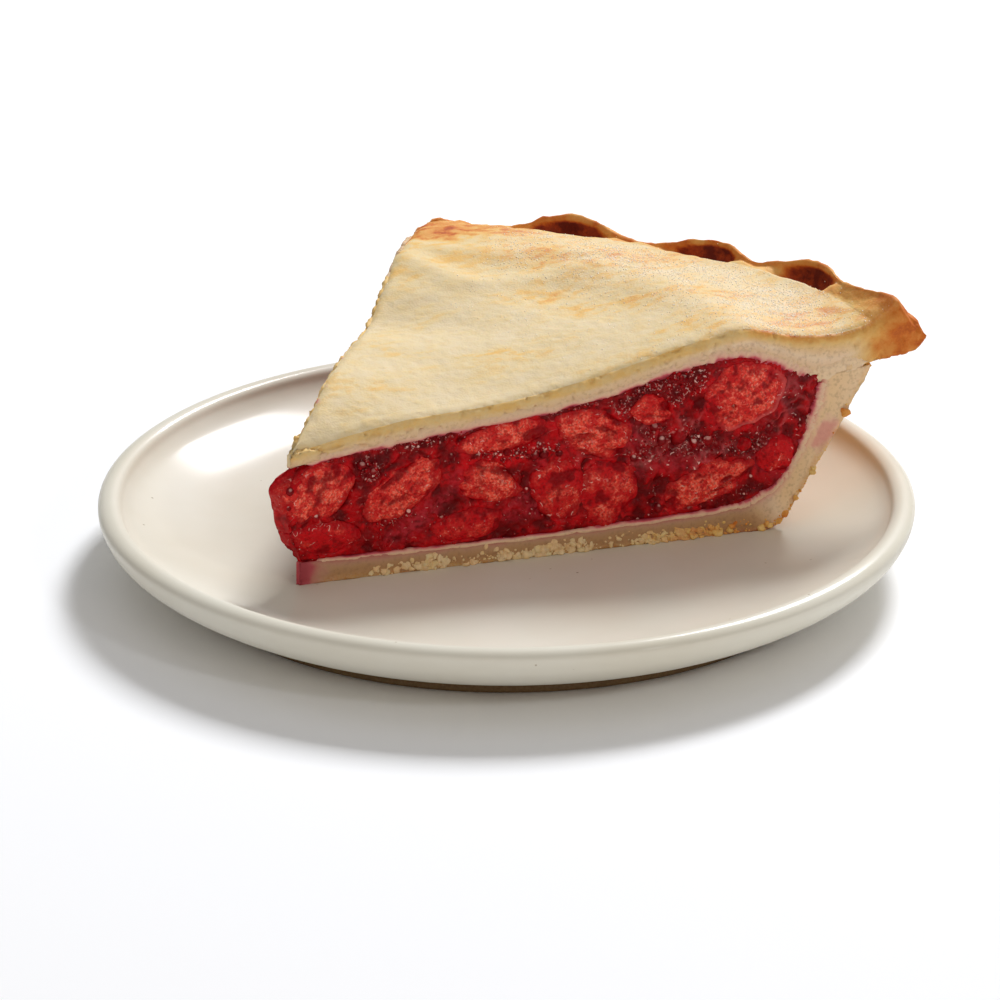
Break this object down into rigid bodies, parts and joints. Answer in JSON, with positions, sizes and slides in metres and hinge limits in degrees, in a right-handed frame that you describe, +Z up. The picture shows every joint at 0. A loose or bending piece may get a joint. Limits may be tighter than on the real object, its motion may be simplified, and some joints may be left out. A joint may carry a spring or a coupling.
{
  "type": "slice of cherry pie on a plate",
  "caption": "Wedge of double-crust cherry pie with a fluted edge and a glossy fruit filling, lying on a small round stoneware plate.",
  "frame": {"origin": "under the middle of the whole part's box, on the plane that the plate's foot stands on", "axes": "+X along the front cut from the tip of the slice to its fluted edge, +Y away from the front cut, +Z up"},
  "size_m": [0.157, 0.1638, 0.0492],
  "materials": {
    "plate": "off-white satin glaze with faint specks, bare clay at the foot",
    "bottom_crust": "pale baked shortcrust, stained pink along the filling and golden at its outer corner",
    "lid_crust": "pale cream crust with golden patches and a brown fluted edge",
    "filling": "clear deep red fruit gel, wet",
    "cherry": "cooked cherry flesh, orange red, wet"
  },
  "bodies": {
    "root": {"plate": "plate", "bottom_crust": "bottom_crust", "filling": "filling", "lid_crust": "lid_crust", "cherry_front_tip_upper": "cherry", "cherry_front_tip_lower": "cherry", "cherry_front_torn_long": "cherry", "cherry_front_wedge": "cherry", "cherry_front_under_lid": "cherry", "cherry_front_curled": "cherry", "cherry_front_low_left": "cherry", "cherry_front_low_right": "cherry", "cherry_front_large": "cherry", "cherry_front_slanted": "cherry", "cherry_front_fibre": "cherry", "cherry_front_bottom": "cherry", "cherry_front_by_wall": "cherry", "cherry_back_inner": "cherry", "cherry_back_inner_low": "cherry", "cherry_back_upper": "cherry", "cherry_back_middle": "cherry", "cherry_back_outer": "cherry", "cherry_back_outer_low": "cherry"}
  },
  "joints": []
}
